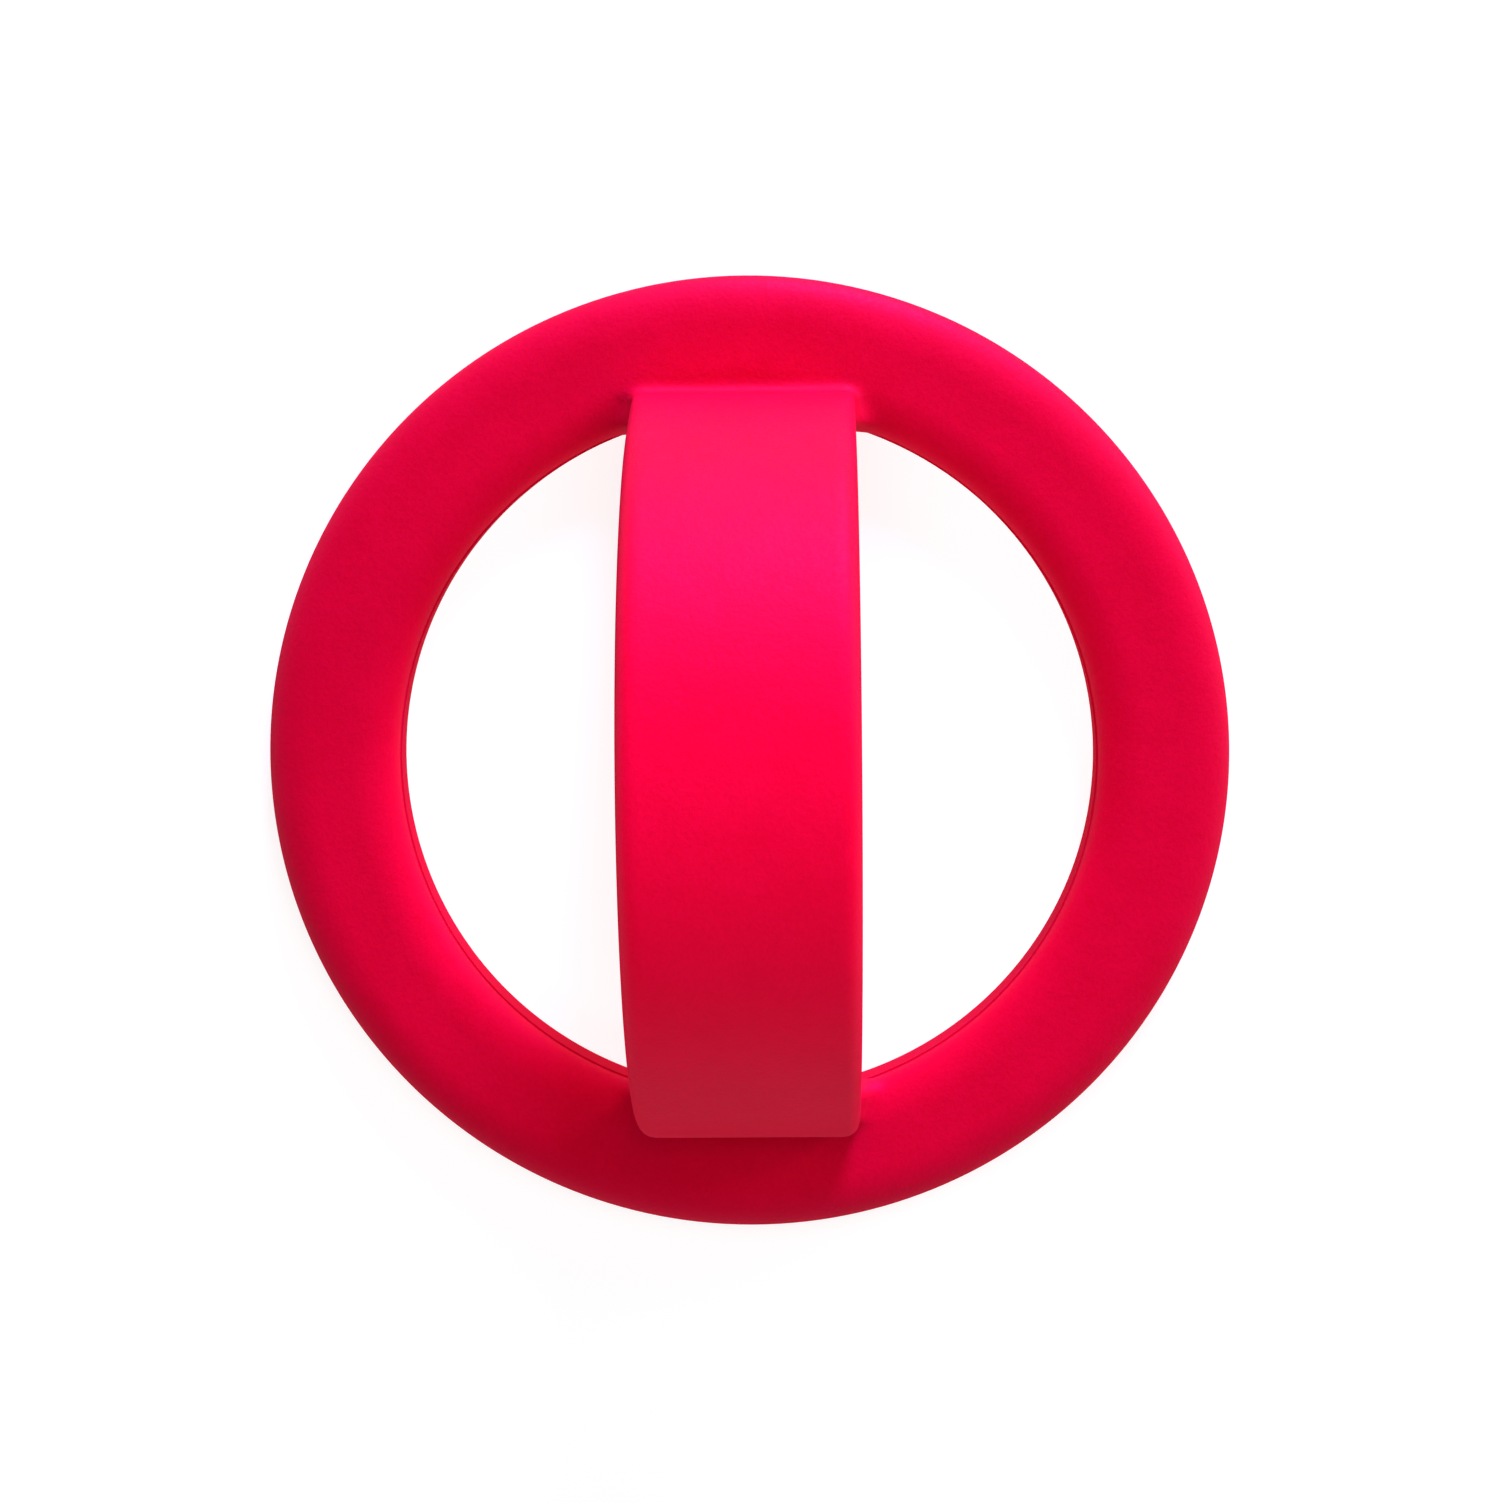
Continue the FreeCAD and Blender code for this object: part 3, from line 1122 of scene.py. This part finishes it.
@dataclass(frozen=True)
class Studio:
    """Plain pale floor, soft lights and the camera over the far side of the ring."""

    camera_place: tuple[float, float, float] = (3.87 * MM, 24.78 * MM, 168.88 * MM)
    camera_target: tuple[float, float, float] = (0.12 * MM, 0.58 * MM, 2.60 * MM)
    camera_roll_deg: float = -0.62
    lens: float = 66.53
    clip_near: float = 0.001
    clip_far: float = 20.0
    floor_radius: float = 0.75
    cove_radius: float = 0.35
    wall_height: float = 0.42
    bend_cells: int = 24
    round_cells: int = 96
    floor_shade: float = 0.35
    floor_roughness: float = 0.9
    floor_gloss: float = 0.1
    floor_glow: float = 0.82
    sky: float = 0.05
    lamp_target: tuple[float, float, float] = (0.0, 0.0, 0.01)
    lamps: tuple[Lamp, ...] = (
        Lamp("low_window", (0.191, 0.767, 0.125), 0.20, 3.6, (1.0, 1.0, 2.1)),
        Lamp("high_window", (0.175, 0.703, 0.338), 0.20, 4.3, (1.0, 1.0, 2.1)),
        Lamp("side_panel", (0.678, 0.391, 0.166), 0.20, 2.4),
        Lamp("rear_panel", (0.098, -0.557, 0.566), 0.20, 0.6),
        Lamp("overhead_panel", (0.0, 0.0, 0.090), 0.03, 0.018, in_gloss=False),
        Lamp("spot_panel", (0.004, 0.012, 0.075), 0.02, 0.008, in_gloss=False),
    )

    def cove(self) -> None:
        """Lays the floor, which turns up into a round wall far from the grip.

        The outline is a flat run, a quarter circle and an upright, as radius and height,
        carried round the Z axis. The floor's paint glows, so that it stays pale, and is
        kept out of the grip's gloss.
        """
        bend = np.linspace(0, math.pi / 2, self.bend_cells + 1)
        radius = np.concatenate([[0.0, self.floor_radius / 2],
                                 self.floor_radius + self.cove_radius * np.sin(bend),
                                 [self.floor_radius + self.cove_radius]])
        height = np.concatenate([[0.0, 0.0], self.cove_radius * (1 - np.cos(bend)),
                                 [self.wall_height]])
        turn = np.linspace(0, 2 * math.pi, self.round_cells + 1)[:-1, None]
        points = revolved(radius, height, turn)
        numbers = np.arange(points[..., 0].size).reshape(points.shape[:2])
        onward = np.roll(numbers, -1, 0)
        quads = np.stack([numbers[:, :-1], numbers[:, 1:], onward[:, 1:], onward[:, :-1]], -1)
        mesh = bpy.data.meshes.new("cove")
        mesh.from_pydata(points.reshape(-1, 3).tolist(), [], quads.reshape(-1, 4).tolist())
        mesh.shade_smooth()
        cove = bpy.data.objects.new("cove", mesh)
        bpy.context.scene.collection.objects.link(cove)
        graph = Graph("cove_paint")
        graph.fix(Base_Color=(self.floor_shade,) * 3, Roughness=self.floor_roughness,
                  Specular_IOR_Level=self.floor_gloss, Emission_Color=(1.0, 1.0, 1.0),
                  Emission_Strength=self.floor_glow)
        mesh.materials.append(graph.material)
        cove.visible_glossy = False

    def world(self) -> None:
        """Lights the scene evenly from all round."""
        world = bpy.data.worlds.new("studio")
        world.use_nodes = True
        background = world.node_tree.nodes["Background"]
        background.inputs["Color"].default_value = (1.0, 1.0, 1.0, 1.0)
        background.inputs["Strength"].default_value = self.sky
        bpy.context.scene.world = world

    def camera(self) -> None:
        """Aims the camera at the ring's middle with +Y up the picture."""
        data = bpy.data.cameras.new("camera")
        data.lens = self.lens
        data.clip_start, data.clip_end = self.clip_near, self.clip_far
        camera = bpy.data.objects.new("camera", data)
        bpy.context.scene.collection.objects.link(camera)
        place = Vector(self.camera_place)
        back = (place - Vector(self.camera_target)).normalized()
        right = Vector((0.0, 1.0, 0.0)).cross(back).normalized()
        turn = Matrix((right, back.cross(right), back)).transposed()
        roll = Matrix.Rotation(math.radians(self.camera_roll_deg), 3, "Z")
        camera.matrix_world = Matrix.Translation(place) @ (turn @ roll).to_4x4()
        bpy.context.scene.camera = camera

    def build(self) -> None:
        """Sets up floor, world, lights, camera and plain colour handling."""
        self.cove()
        self.world()
        for lamp in self.lamps:
            lamp.build(Vector(self.lamp_target))
        self.camera()
        bpy.context.scene.view_settings.view_transform = "Standard"


def main() -> None:
    """Builds and dresses the grip's sub-assemblies in order, then sets up the studio."""
    logging.basicConfig(level=logging.INFO, format="%(name)s %(message)s")
    grip = SoftGrip.from_frame()
    LOG.info("moulding sizes: %s", grip)
    grip.dress(grip.build())
    shell = RearShell.from_frame()
    LOG.info("shell sizes: %s", shell)
    shell.dress(shell.build())
    MagnetStack().dress()
    Studio().build()


if __name__ == "__main__":
    main()
